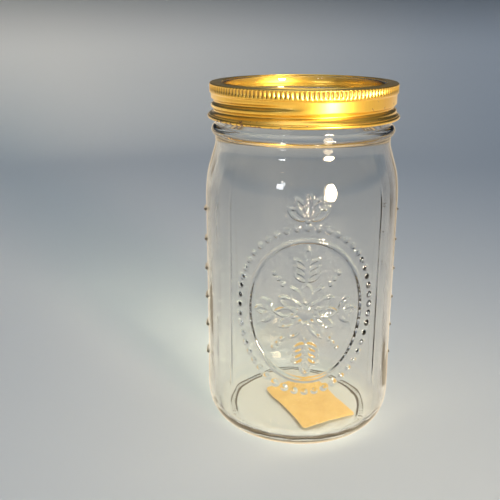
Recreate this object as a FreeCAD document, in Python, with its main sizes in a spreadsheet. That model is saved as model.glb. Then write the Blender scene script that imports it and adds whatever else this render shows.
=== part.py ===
import FreeCAD, Part
import math
import os
import Sketcher

# A wide-mouth quart canning jar of clear glass with an open screw band of thin tinplate.
# The jar stands on z = 0 with its axis on +Z, and its moulded oval faces -Y.
# The band is screwed down: its flange rests on the rim, its rolled thread half a pitch below the glass one.

# Driving sizes, in millimetres, degrees and counts
SIZES = {
    # Glass jar, outside: the finish sets the widths, and the heights run down from the rim
    "glass_height": 172.6,
    "root_radius": 41.95,
    "rim_round": 1.4,
    "finish_height": 18.7,
    "bead_swell": 1.9,
    "bead_length": 5.4,
    "neck_swell": 0.15,
    "neck_length": 2.5,
    "neck_blend": 12,
    "shoulder_width": 5.4,
    "shoulder_line": 6.8,
    "shoulder_round": 61.5,
    "heel_round": 12.2,
    "foot_width": 2.4,
    # Glass jar, inside and underside
    "wall": 3.0,
    "finish_wall": 3.75,
    "floor_height": 5.0,
    "floor_round": 8.0,
    "recess_depth": 1.5,
    "recess_slope": 0.8,
    # Screw thread, right-handed
    "thread_pitch": 4.233,
    "thread_round": 1.2,
    "thread_bite": 0.5,
    "thread_turns": 1.15,
    "thread_low": 9.6,
    "thread_start": 230,
    # Moulded relief on the body
    "relief": 0.6,
    "relief_bite": 0.8,
    "oval_height": 69.5,
    "oval_width": 55.5,
    "oval_line": 1.4,
    "oval_centre": 74.5,
    "bar_width": 9,
    "bar_line": 1.2,
    "bar_first": 34,
    "bar_spacing": 15.5,
    "bar_count": 6,
    # Screw band
    "tin": 0.3,
    "seat_gap": 0.1,
    "mouth_gap": 0.7,
    "thread_gap": 0.55,
    "flank_gap": 0.19,
    "knurl_step": 0.65,
    "knurl_height": 4.3,
    "knurl_depth": 0.3,
    "knurl_width": 1.1,
    "knurl_count": 138,
    "knurl_round": 0.7,
    "roll_turns": 1.03,
    "roll_lag": 20,
    "skirt_drop": 1.0,
    # Rolled lower edge of the band
    "curl_flare": 1.8,
    "curl_round": 0.9,
    "curl_gap": 0.15,
    "curl_open": 40,
    # Paper label in the recess under the base
    "label_margin": 6.5,
    "label_slant": 55.8,
    "label_corner": 2,
    "label_thick": 0.2,
    "label_turn": 25,
    "label_shift": 1.03,
    "label_shift_turn": -7.6,
}

# Radii of the glass that follow from the driving sizes
NECK_RADIUS = "(dims.root_radius + dims.neck_swell)"
BEAD_RADIUS = f"({NECK_RADIUS} + dims.bead_swell)"
BODY_RADIUS = f"({NECK_RADIUS} + dims.shoulder_width)"
BORE_RADIUS = "(dims.root_radius - dims.finish_wall)"
FOOT_RADIUS = f"({BODY_RADIUS} - dims.heel_round)"
RECESS_RADIUS = f"({FOOT_RADIUS} - dims.foot_width)"
ROOF_RADIUS = f"({RECESS_RADIUS} - dims.recess_slope)"

# The shoulder: an arc, a leaning line and a counter arc, whose lean makes up the shoulder's width
ROUNDS = "(dims.shoulder_round + dims.neck_blend)"
STEEPEST = f"acos(({ROUNDS} - dims.shoulder_width) / sqrt({ROUNDS} ^ 2 + dims.shoulder_line ^ 2))"
LEAN = f"({STEEPEST} - atan(dims.shoulder_line / {ROUNDS}))"
BEAD_TOP = "(dims.glass_height - dims.finish_height)"
BEAD_LOW = f"({BEAD_TOP} - dims.bead_length)"
NECK_Z = f"({BEAD_LOW} - dims.neck_length)"
TURN_UP_R = f"({NECK_RADIUS} + dims.neck_blend * (1 - cos({LEAN})))"
TURN_UP_Z = f"({NECK_Z} - dims.neck_blend * sin({LEAN}))"
TURN_IN_R = f"({TURN_UP_R} + dims.shoulder_line * sin({LEAN}))"
TURN_IN_Z = f"({TURN_UP_Z} - dims.shoulder_line * cos({LEAN}))"
SHOULDER_Z = f"({TURN_IN_Z} - dims.shoulder_round * sin({LEAN}))"

# The band: clear of the glass thread by its gaps, with its skirt just below its own rolled thread
BAND_INSIDE = "(dims.root_radius + dims.thread_round + dims.thread_gap)"
BAND_MIDDLE = f"({BAND_INSIDE} + dims.tin / 2)"
BAND_RADIUS = f"({BAND_INSIDE} + dims.tin)"
MOUTH_RADIUS = f"({BORE_RADIUS} + dims.mouth_gap)"
KNURL_RADIUS = f"({BAND_RADIUS} + dims.knurl_step)"
FLANGE_UNDER = "(dims.glass_height + dims.seat_gap)"
BAND_TOP = f"({FLANGE_UNDER} + dims.tin)"
THREAD_LOW_Z = "(dims.glass_height - dims.thread_low)"
ROLL_LOW_Z = f"({THREAD_LOW_Z} - dims.thread_pitch / 2 + dims.thread_pitch * dims.roll_lag / 360)"
ROLL_REACH = f"sqrt(({BAND_MIDDLE} - dims.root_radius) ^ 2 + (dims.thread_pitch / 2) ^ 2)"
ROLL_ROUND = f"({ROLL_REACH} - dims.thread_round - dims.flank_gap)"
WALL_END_Z = f"({ROLL_LOW_Z} - {ROLL_ROUND})"
SKIRT_END_Z = f"({WALL_END_Z} - dims.skirt_drop)"
CURL_CENTRE_R = f"({BAND_RADIUS} + dims.curl_flare - dims.curl_round)"
CURL_CENTRE_Z = f"({SKIRT_END_Z} - dims.curl_gap - dims.curl_round)"

STRAIGHT = 0
OUTWARD = 1
INWARD = -1
FULL_TURN = 360
HALF_TURN = 180
NEAR_ZERO = 1e-9

doc = FreeCAD.newDocument("canning_jar")


def make_sheet():
    """Writes the driving sizes to a sheet, one named cell each."""
    made = doc.addObject("Spreadsheet::Sheet", "dims")
    for row, (name, number) in enumerate(SIZES.items(), start=1):
        made.set(f"A{row}", name)
        made.set(f"B{row}", str(number))
        made.setAlias(f"B{row}", name)
    doc.recompute()
    return made


sheet = make_sheet()


def value(expression):
    """The number that an expression over the sheet gives."""
    return float(sheet.evalExpression(str(expression)))


def bind(thing, **expressions):
    """Ties properties of an object to expressions over the sheet."""
    for name, expression in expressions.items():
        thing.setExpression(name.replace("__", "."), str(expression))


def body_named(label):
    """A new body whose label names its file."""
    body = doc.addObject("PartDesign::Body", label)
    body.Label = label
    return body


def sketch_on(body, name, role):
    """A new sketch on one of the body's own origin planes."""
    sketch = body.newObject("Sketcher::SketchObject", name)
    plane = next(p for p in body.Origin.OriginFeatures if p.Role == role)
    sketch.AttachmentSupport = [(plane, "")]
    sketch.MapMode = "FlatFace"
    return sketch


def turned_sketch(body, name, azimuth):
    """A sketch on the upright plane through the axis, turned about the axis by an azimuth."""
    sketch = sketch_on(body, name, "XZ_Plane")
    sketch.AttachmentOffset = FreeCAD.Placement(
        FreeCAD.Vector(), FreeCAD.Rotation(FreeCAD.Vector(0, 1, 0), value(azimuth))
    )
    bind(sketch, AttachmentOffset__Rotation__Angle=azimuth)
    return sketch


def pin_point(sketch, geometry, end, x, y):
    """Fixes one end of a sketch line at a place given by two expressions."""
    for axis, kind, place in ((-2, "DistanceX", x), (-1, "DistanceY", y)):
        if abs(value(place)) < NEAR_ZERO:
            sketch.addConstraint(Sketcher.Constraint("PointOnObject", geometry, end, axis))
            continue
        number = sketch.addConstraint(Sketcher.Constraint(kind, -1, 1, geometry, end, value(place)))
        sketch.setExpression(f"Constraints[{number}]", str(place))


def arc_between(start, finish, radius, side):
    """The arc of a radius from start to finish that bulges to the right of travel (1) or to its left (-1)."""
    chord = finish - start
    half = chord.Length / 2
    across = FreeCAD.Vector(chord.y, -chord.x, 0).normalize() * side
    centre = start + chord / 2 - across * math.sqrt(max(radius**2 - half**2, 0))
    angles = [math.atan2(p.y - centre.y, p.x - centre.x) for p in (start, finish)]
    forward = side == OUTWARD
    circle = Part.Circle(centre, FreeCAD.Vector(0, 0, 1), radius)
    return Part.ArcOfCircle(circle, *(angles if forward else reversed(angles))), forward


def draw_outline(sketch, corners):
    """Draws a closed outline and ties it to the sheet.

    Each corner is (x, y) or (x, y, side, radius), where side and radius give the arc that leaves it.
    An outline is drawn anticlockwise, so an OUTWARD arc swells and an INWARD one hollows.
    """
    points = [FreeCAD.Vector(value(c[0]), value(c[1]), 0) for c in corners]
    ends = []
    for place, corner in enumerate(corners):
        start, finish = points[place], points[(place + 1) % len(points)]
        side = corner[2] if len(corner) > 2 else STRAIGHT
        if side == STRAIGHT:
            number = sketch.addGeometry(Part.LineSegment(start, finish))
            ends.append((number, 1, 2))
            continue
        arc, forward = arc_between(start, finish, value(corner[3]), side)
        number = sketch.addGeometry(arc)
        ends.append((number, 1, 2) if forward else (number, 2, 1))
        limit = sketch.addConstraint(Sketcher.Constraint("Radius", number, value(corner[3])))
        sketch.setExpression(f"Constraints[{limit}]", str(corner[3]))
    for place, (number, first, last) in enumerate(ends):
        following, entry, _ = ends[(place + 1) % len(ends)]
        sketch.addConstraint(Sketcher.Constraint("Coincident", number, last, following, entry))
        pin_point(sketch, number, first, corners[place][0], corners[place][1])


def revolve(body, name, corners):
    """Turns an outline in the XZ plane through a full turn about the axis."""
    sketch = sketch_on(body, f"{name}_outline", "XZ_Plane")
    draw_outline(sketch, corners)
    solid = body.newObject("PartDesign::Revolution", name)
    solid.Profile = sketch
    solid.ReferenceAxis = (sketch, ["V_Axis"])
    solid.Angle = FULL_TURN
    doc.recompute()
    return solid


def helix(body, kind, name, azimuth, turns, corners):
    """Sweeps an outline along a right-handed helix about the axis, starting at an azimuth."""
    sketch = turned_sketch(body, f"{name}_outline", azimuth)
    draw_outline(sketch, corners)
    solid = body.newObject(kind, name)
    solid.Profile = sketch
    solid.ReferenceAxis = (sketch, ["V_Axis"])
    solid.Mode = "pitch-turns-angle"
    solid.LeftHanded = False
    bind(solid, Pitch="dims.thread_pitch", Turns=turns)
    doc.recompute()
    return solid


def flank(offset):
    """Four places up the jar's side, from the shoulder's foot to the neck, moved outwards by an offset."""
    aside, above = f"({offset}) * cos({LEAN})", f"({offset}) * sin({LEAN})"
    return [
        (f"{BODY_RADIUS} + ({offset})", SHOULDER_Z),
        (f"{TURN_IN_R} + {aside}", f"{TURN_IN_Z} + {above}"),
        (f"{TURN_UP_R} + {aside}", f"{TURN_UP_Z} + {above}"),
        (f"{NECK_RADIUS} + ({offset})", NECK_Z),
    ]


def rising(offset):
    """The flank as corners of an outline that runs up it."""
    foot, turn_in, turn_up, neck = flank(offset)
    shoulder, blend = f"dims.shoulder_round + ({offset})", f"dims.neck_blend - ({offset})"
    return [(*foot, OUTWARD, shoulder), turn_in, (*turn_up, INWARD, blend), neck]


def falling(offset):
    """The flank as corners of an outline that runs down it."""
    foot, turn_in, turn_up, neck = flank(offset)
    shoulder, blend = f"dims.shoulder_round + ({offset})", f"dims.neck_blend - ({offset})"
    return [(*neck, OUTWARD, blend), turn_up, (*turn_in, INWARD, shoulder), foot]


def jar_outline():
    """The jar's section: up the outside from the bearing ring to the rim, and back down the inside."""
    half_bead = "(dims.bead_length / 2)"
    bead_round = f"((dims.bead_swell ^ 2 + {half_bead} ^ 2) / (2 * dims.bead_swell))"
    rim_low = "dims.glass_height - dims.rim_round"
    inside = f"({BODY_RADIUS} - dims.wall)"
    return [
        (RECESS_RADIUS, "0"),
        (FOOT_RADIUS, "0", OUTWARD, "dims.heel_round"),
        (BODY_RADIUS, "dims.heel_round"),
        *rising("0"),
        (NECK_RADIUS, BEAD_LOW, OUTWARD, bead_round),
        (BEAD_RADIUS, f"{BEAD_LOW} + {half_bead}", OUTWARD, bead_round),
        ("dims.root_radius", BEAD_TOP),
        ("dims.root_radius", rim_low, OUTWARD, "dims.rim_round"),
        ("dims.root_radius - dims.rim_round", "dims.glass_height"),
        (f"{BORE_RADIUS} + dims.rim_round", "dims.glass_height", OUTWARD, "dims.rim_round"),
        (BORE_RADIUS, rim_low),
        (BORE_RADIUS, BEAD_TOP),
        *falling("-dims.wall"),
        (inside, "dims.floor_height + dims.floor_round", INWARD, "dims.floor_round"),
        (f"{inside} - dims.floor_round", "dims.floor_height"),
        ("0", "dims.floor_height"),
        ("0", "dims.recess_depth"),
        (ROOF_RADIUS, "dims.recess_depth"),
    ]


def relief_skin():
    """The thin shell that the moulded relief fills, from just inside the glass to the relief's height."""
    body = body_named("relief_skin")
    revolve(body, "relief_shell", [
        (f"{BODY_RADIUS} + dims.relief", "dims.heel_round"),
        *rising("dims.relief"),
        *falling("-dims.relief_bite"),
        (f"{BODY_RADIUS} - dims.relief_bite", "dims.heel_round"),
    ])
    return body


def oval_prism(name, inset):
    """An upright oval run from the axis out through the front of the jar, smaller by an inset all round."""
    oval = doc.addObject("Part::Ellipse", f"{name}_edge")
    bind(oval, MajorRadius=f"dims.oval_height / 2 - {inset}", MinorRadius=f"dims.oval_width / 2 - {inset}")
    up, right, back = FreeCAD.Vector(0, 0, 1), FreeCAD.Vector(1, 0, 0), FreeCAD.Vector(0, 1, 0)
    oval.Placement = FreeCAD.Placement(FreeCAD.Vector(), FreeCAD.Rotation(up, right, back, "ZXY"))
    bind(oval, Placement__Base__z="dims.oval_centre")
    prism = doc.addObject("Part::Extrusion", name)
    prism.Base = oval
    prism.Dir = FreeCAD.Vector(0, -1, 0)
    prism.DirMode = "Custom"
    prism.Solid = True
    bind(prism, LengthFwd=f"{BODY_RADIUS} + dims.relief + dims.wall")
    return prism


def oval_ring(skin):
    """The raised oval line on the front of the jar."""
    ring = doc.addObject("Part::Cut", "oval_tube")
    ring.Base, ring.Tool = oval_prism("oval_outer", "0"), oval_prism("oval_inner", "dims.oval_line")
    line = doc.addObject("Part::MultiCommon", "oval_ring")
    line.Shapes = [ring, skin]
    return line


def side_bars(skin):
    """Two ladders of short raised level bars, one on each side of the jar."""
    bars = []
    reach = f"({BODY_RADIUS} + dims.relief + dims.wall)"
    for step in range(round(value("dims.bar_count"))):
        bar = doc.addObject("Part::Box", f"bar_{step}")
        bind(bar, Length=f"2 * {reach}", Width="dims.bar_width", Height="dims.bar_line")
        bind(bar, Placement__Base__x=f"-{reach}", Placement__Base__y="-dims.bar_width / 2")
        bind(bar, Placement__Base__z=f"dims.bar_first + {step} * dims.bar_spacing - dims.bar_line / 2")
        bars.append(bar)
    ladder = doc.addObject("Part::MultiFuse", "bar_ladder")
    ladder.Shapes = bars
    marks = doc.addObject("Part::MultiCommon", "side_bars")
    marks.Shapes = [ladder, skin]
    return marks


def make_glass_jar():
    """The jar: a turned shell with a screw thread round its neck, an oval line and two ladders of bars."""
    body = body_named("jar_shell")
    revolve(body, "jar_wall", jar_outline())
    low, high = f"{THREAD_LOW_Z} - dims.thread_round", f"{THREAD_LOW_Z} + dims.thread_round"
    helix(body, "PartDesign::AdditiveHelix", "glass_thread", "dims.thread_start", "dims.thread_turns", [
        ("dims.root_radius - dims.thread_bite", low),
        ("dims.root_radius", low, OUTWARD, "dims.thread_round"),
        ("dims.root_radius", high),
        ("dims.root_radius - dims.thread_bite", high),
    ])
    skin = relief_skin()
    jar = doc.addObject("Part::MultiFuse", "glass_jar")
    jar.Shapes = [body, oval_ring(skin), side_bars(skin)]
    jar.Label = "glass_jar"
    return jar


def band_outline():
    """The band's section: thin sheet from the flange's inner edge over the knurled rim down to the skirt."""
    knurl_low = f"({BAND_TOP} - dims.knurl_height)"
    knurl_inside = f"({KNURL_RADIUS} - dims.knurl_depth - dims.tin)"
    wall_top = f"({knurl_low} - dims.knurl_step)"
    return [
        (MOUTH_RADIUS, FLANGE_UNDER),
        (knurl_inside, FLANGE_UNDER),
        (knurl_inside, knurl_low),
        (BAND_INSIDE, wall_top),
        (BAND_INSIDE, WALL_END_Z),
        (f"{CURL_CENTRE_R} - dims.tin / 2", SKIRT_END_Z),
        (f"{CURL_CENTRE_R} + dims.tin / 2", SKIRT_END_Z),
        (BAND_RADIUS, WALL_END_Z),
        (BAND_RADIUS, wall_top),
        (KNURL_RADIUS, knurl_low),
        (KNURL_RADIUS, f"{BAND_TOP} - dims.knurl_round", OUTWARD, "dims.knurl_round"),
        (f"{KNURL_RADIUS} - dims.knurl_round", BAND_TOP),
        (MOUTH_RADIUS, BAND_TOP),
    ]


def knurl(body):
    """The ring of short upright notches round the top edge of the band."""
    sketch = sketch_on(body, "knurl_notch_outline", "XY_Plane")
    bind(sketch, AttachmentOffset__Base__z=f"{BAND_TOP} - dims.knurl_height")
    outside = f"({KNURL_RADIUS} + dims.knurl_depth)"
    draw_outline(sketch, [
        (f"{KNURL_RADIUS} - dims.knurl_depth", "dims.knurl_width"),
        (outside, "0"),
        (outside, "2 * dims.knurl_width"),
    ])
    notch = body.newObject("PartDesign::Pocket", "knurl_notch")
    notch.Profile = sketch
    notch.Type = "Length"
    notch.Reversed = True
    bind(notch, Length="dims.knurl_height - dims.knurl_round / 2")
    doc.recompute()
    ring = body.newObject("PartDesign::PolarPattern", "knurl_ring")
    ring.Originals = [notch]
    ring.Axis = (next(o for o in body.Origin.OriginFeatures if o.Role == "Z_Axis"), [""])
    ring.Angle = FULL_TURN
    bind(ring, Occurrences="dims.knurl_count")
    body.Tip = ring
    doc.recompute()


def make_screw_band():
    """The band: a turned sheet with a knurled rim and a thread rolled in, groove outside and bead inside."""
    body = body_named("screw_band")
    revolve(body, "band_sheet", band_outline())
    start, turns = "dims.thread_start + dims.roll_lag", "dims.roll_turns"
    helix(body, "PartDesign::AdditiveHelix", "rolled_bead", start, turns, [
        (BAND_MIDDLE, f"{ROLL_LOW_Z} + {ROLL_ROUND}", OUTWARD, ROLL_ROUND),
        (f"{BAND_MIDDLE} - {ROLL_ROUND}", ROLL_LOW_Z, OUTWARD, ROLL_ROUND),
        (BAND_MIDDLE, f"{ROLL_LOW_Z} - {ROLL_ROUND}"),
    ])
    groove = f"({ROLL_ROUND} - dims.tin)"
    outside = f"({BAND_RADIUS} + dims.tin)"
    helix(body, "PartDesign::SubtractiveHelix", "rolled_groove", start, turns, [
        (outside, f"{ROLL_LOW_Z} + {groove}"),
        (BAND_MIDDLE, f"{ROLL_LOW_Z} + {groove}", OUTWARD, groove),
        (f"{BAND_MIDDLE} - {groove}", ROLL_LOW_Z, OUTWARD, groove),
        (BAND_MIDDLE, f"{ROLL_LOW_Z} - {groove}"),
        (outside, f"{ROLL_LOW_Z} - {groove}"),
    ])
    knurl(body)
    return body


def make_band_curl():
    """The band's rolled lower edge: a ring of sheet with a round section, open towards the glass."""
    body = body_named("band_curl")
    ends = (f"(dims.curl_open - {HALF_TURN})", "0", f"({HALF_TURN} - dims.curl_open)")
    inner_round = "(dims.curl_round - dims.tin)"

    def on_curl(radius, angle):
        return f"{CURL_CENTRE_R} + {radius} * cos({angle})", f"{CURL_CENTRE_Z} + {radius} * sin({angle})"

    revolve(body, "curl_ring", [
        (*on_curl("dims.curl_round", ends[0]), OUTWARD, "dims.curl_round"),
        (*on_curl("dims.curl_round", ends[1]), OUTWARD, "dims.curl_round"),
        on_curl("dims.curl_round", ends[2]),
        (*on_curl(inner_round, ends[2]), INWARD, inner_round),
        (*on_curl(inner_round, ends[1]), INWARD, inner_round),
        on_curl(inner_round, ends[0]),
    ])
    return body


def make_paper_label():
    """The paper label: a round-cornered sheet against the recess's roof, as large as its margin allows."""
    body = body_named("paper_label")
    sketch = sketch_on(body, "label_outline", "XY_Plane")
    corner = "dims.label_corner"
    reach = f"({ROOF_RADIUS} - dims.label_margin - {corner})"
    far_x = f"(2 * ({corner} + {reach} * cos(dims.label_slant)))"
    far_y = f"(2 * ({corner} + {reach} * sin(dims.label_slant)))"
    draw_outline(sketch, [
        (corner, "0"),
        (f"{far_x} - {corner}", "0", OUTWARD, corner),
        (far_x, corner),
        (far_x, f"{far_y} - {corner}", OUTWARD, corner),
        (f"{far_x} - {corner}", far_y),
        (corner, far_y, OUTWARD, corner),
        ("0", f"{far_y} - {corner}"),
        ("0", corner, OUTWARD, corner),
    ])
    pad = body.newObject("PartDesign::Pad", "label_sheet")
    pad.Profile = sketch
    bind(pad, Length="dims.label_thick")
    body.Placement = FreeCAD.Placement(
        FreeCAD.Vector(), FreeCAD.Rotation(FreeCAD.Vector(0, 0, 1), value("dims.label_turn"))
    )
    shift = "dims.label_shift * dims.label_margin"
    aside, along = f"{shift} * cos(dims.label_shift_turn)", f"{shift} * sin(dims.label_shift_turn)"
    cosine, sine = "cos(dims.label_turn)", "sin(dims.label_turn)"
    bind(body, Placement__Rotation__Angle="dims.label_turn")
    bind(body, Placement__Base__x=f"{aside} - {far_x} / 2 * {cosine} + {far_y} / 2 * {sine}")
    bind(body, Placement__Base__y=f"{along} - {far_x} / 2 * {sine} - {far_y} / 2 * {cosine}")
    bind(body, Placement__Base__z="dims.recess_depth - dims.label_thick")
    return body


def check(parts):
    """Stops unless every object is sound and each part is one valid solid."""
    broken = [o.Name for o in doc.Objects if "Invalid" in o.State or "Error" in o.State]
    if broken:
        raise RuntimeError(f"failed objects: {broken}")
    for part in parts:
        shape = part.Shape
        if shape.isNull() or not shape.isValid() or len(shape.Solids) != 1:
            raise RuntimeError(f"{part.Label} is not one valid solid")
        print(part.Label, "volume", round(shape.Volume, 1), "height", round(shape.BoundBox.ZMax, 2))


def main():
    """Builds the parts, checks them and writes one file for each."""
    parts = [make_glass_jar(), make_screw_band(), make_band_curl(), make_paper_label()]
    doc.recompute()
    check(parts)
    os.makedirs("parts", exist_ok=True)
    for part in parts:
        part.Shape.exportStep(f"parts/{part.Label}.step")


main()
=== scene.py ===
"""Looks of a wide-mouth canning jar of clear moulded glass with an open gold screw band.

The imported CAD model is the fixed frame: z = 0 is the surface the jar stands on, +Z runs up its axis
and -Y out of its front. Sizes are in millimetres, and every mesh is built in its place, in metres.
"""

import logging
import math
from collections.abc import Callable
from dataclasses import dataclass, field
from enum import Enum
from functools import partial

import bpy
import numpy as np
from bpy.types import Material, Node, NodeSocket, NodeTree, Object
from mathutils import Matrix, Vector


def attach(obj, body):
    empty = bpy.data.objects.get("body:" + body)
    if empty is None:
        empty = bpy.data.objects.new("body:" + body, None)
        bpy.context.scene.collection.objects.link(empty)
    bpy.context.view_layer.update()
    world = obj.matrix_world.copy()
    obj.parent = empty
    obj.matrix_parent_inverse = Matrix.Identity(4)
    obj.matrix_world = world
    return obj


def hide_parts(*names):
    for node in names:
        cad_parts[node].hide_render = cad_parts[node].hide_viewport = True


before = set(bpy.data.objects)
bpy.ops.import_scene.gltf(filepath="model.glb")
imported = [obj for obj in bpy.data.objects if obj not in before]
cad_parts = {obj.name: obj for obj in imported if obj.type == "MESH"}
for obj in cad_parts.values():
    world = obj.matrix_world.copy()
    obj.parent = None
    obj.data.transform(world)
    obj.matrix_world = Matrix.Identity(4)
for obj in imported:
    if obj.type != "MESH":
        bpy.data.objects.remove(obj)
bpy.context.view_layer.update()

MM = 0.001
FULL_TURN = 2 * math.pi
QUARTER_TURN = math.pi / 2
RIDGE_POWER = 1.5

log = logging.getLogger("canning_jar")

Array = np.ndarray
Place = tuple[float, float]
Link = NodeSocket | Node
Inputs = dict[int | str, object] | list[object]
Relief = Callable[[Array, Array, Array], Array]
Adder = Callable[..., Node]


class Slot(Enum):
    """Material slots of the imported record."""

    GLASS = "clear_glass"
    TINPLATE = "gold_tinplate"
    PAPER = "cream_paper"


class Body(Enum):
    """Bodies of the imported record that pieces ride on."""

    JAR = "jar"
    BAND = "band"
    BAND_LEAD = "band_lead"


class Target(Enum):
    """What the raising of relief measures its distance to."""

    POINTS = "POINTS"
    EDGES = "EDGES"


class Glow(Enum):
    """Shapes of a lamp's glowing face."""

    RECTANGLE = "RECTANGLE"
    ELLIPSE = "ELLIPSE"


def linear(colour: str) -> tuple[float, float, float, float]:
    """Turns an sRGB hex colour to linear light.

    Args:
        colour: the colour as six hex digits after a hash sign.

    Returns:
        Red, green, blue and an alpha of 1.
    """
    parts = [int(colour[i : i + 2], 16) / 255 for i in (1, 3, 5)]
    light = [c / 12.92 if c <= 0.04045 else ((c + 0.055) / 1.055) ** 2.4 for c in parts]
    return (*light, 1.0)


def add(tree: NodeTree, kind: str, inputs: Inputs | None = None, **settings: object) -> Node:
    """Adds a node with its settings and links.

    Args:
        tree: the node tree that gets the node.
        kind: the kind of shader or geometry node, or in capitals the operation of a Math node.
        inputs: what goes into the sockets, in order or by name or number; a socket or a node is linked.
        settings: the node's own properties.

    Returns:
        The new node.
    """
    if kind.isupper():
        kind, settings["operation"] = "Math", kind
    family = "ShaderNode" if hasattr(bpy.types, "ShaderNode" + kind) else "GeometryNode"
    node = tree.nodes.new(family + kind)
    for name, value in settings.items():
        setattr(node, name, value)
    for key, value in inputs.items() if isinstance(inputs, dict) else enumerate(inputs or []):
        if isinstance(value, Node):
            value = value.outputs[0]
        if isinstance(value, NodeSocket):
            tree.links.new(value, node.inputs[key])
        else:
            node.inputs[key].default_value = value
    return node


def layered(node: Adder, base: str, *layers: tuple[Link, str]) -> NodeSocket:
    """Lays colours over a base colour.

    Args:
        node: what adds a node to the material.
        base: the base colour.
        layers: for each layer, what gives its share from 0 to 1, and its colour.

    Returns:
        The socket of the last colour.
    """
    colour = linear(base)
    for share, tone in layers:
        colour = node("Mix", {0: share, 6: colour, 7: linear(tone)}, data_type="RGBA").outputs[2]
    return colour


def ramp(number: Array, low: float, high: float) -> Array:
    """Rises smoothly from 0 at low to 1 at high."""
    share = np.clip((number - low) / (high - low), 0, 1)
    return share * share * (3 - 2 * share)


def ridge(distance: Array, reach: float, power: float = RIDGE_POWER) -> Array:
    """Section of a moulded ridge: 1 on its line, falling to 0 at its reach."""
    return np.maximum(0, 1 - (distance / reach) ** 2) ** power


def polar(distance: float, turn: float, about: Place = (0.0, 0.0)) -> Place:
    """The place at a distance from another, in a direction."""
    return about[0] + distance * math.cos(turn), about[1] + distance * math.sin(turn)


def wrapped(angle: Array) -> Array:
    """Brings angles into half a turn either side of zero."""
    return (angle + math.pi) % FULL_TURN - math.pi


@dataclass(frozen=True)
class Leg:
    """One stretch of a section in coarse rows: straight, or an arc or quarter oval about a centre."""

    start: Place
    end: Place
    rows: int
    centre: Place | None = None

    def at(self, share: Array) -> tuple[Array, Array]:
        """Places along the leg.

        Args:
            share: how far along the leg, from 0 to 1.

        Returns:
            Radii and heights.
        """
        if self.centre is None:
            run = [first + (last - first) * share for first, last in zip(self.start, self.end)]
            return run[0], run[1]
        first, last = (Vector(p) - Vector(self.centre) for p in (self.start, self.end))
        sweep = first.angle(last)
        begin = np.sin((1 - share) * sweep) / math.sin(sweep)
        finish = np.sin(share * sweep) / math.sin(sweep)
        run = [middle + begin * a + finish * b for middle, a, b in zip(self.centre, first, last)]
        return run[0], run[1]


@dataclass
class Section:
    """The section of a turned piece: legs from place to place beside the axis."""

    place: Place
    legs: list[Leg] = field(default_factory=list)
    marks: dict[str, int] = field(default_factory=dict)

    @property
    def rows(self) -> int:
        """How many coarse rows the legs have."""
        return sum(leg.rows for leg in self.legs)

    def mark(self, name: str) -> "Section":
        """Remembers the row reached so far under a name."""
        self.marks[name] = self.rows
        return self

    def to(self, radius: float, height: float, rows: int = 1, centre: Place | None = None) -> "Section":
        """Adds a leg.

        Args:
            radius: where the leg ends, from the axis.
            height: where the leg ends, from the floor.
            rows: how many coarse rows the leg has.
            centre: the centre of an arc; a leg without one is straight.

        Returns:
            The section itself, so that legs can follow each other.
        """
        self.legs.append(Leg(self.place, (radius, height), rows, centre))
        self.place = (radius, height)
        return self

    def at(self, station: Array) -> tuple[Array, Array]:
        """Radii and heights at stations, which count rows along the section."""
        radius, height = np.zeros_like(station), np.zeros_like(station)
        first = 0
        for leg in self.legs:
            here = (station >= first) & (station <= first + leg.rows)
            radius[here], height[here] = leg.at((station[here] - first) / leg.rows)
            first += leg.rows
        return radius, height

    def outwards(self, station: Array, looped: bool) -> tuple[Array, Array]:
        """Unit vectors out of the surface, as radius and height parts."""
        small = 0.02
        ahead, behind = station + small, station - small
        if looped:
            ahead, behind = ahead % self.rows, behind % self.rows
        ahead_r, ahead_z = self.at(np.clip(ahead, 0, self.rows))
        behind_r, behind_z = self.at(np.clip(behind, 0, self.rows))
        along_r, along_z = ahead_r - behind_r, ahead_z - behind_z
        length = np.maximum(np.hypot(along_r, along_z), 1e-9)
        return along_z / length, -along_r / length


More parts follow.
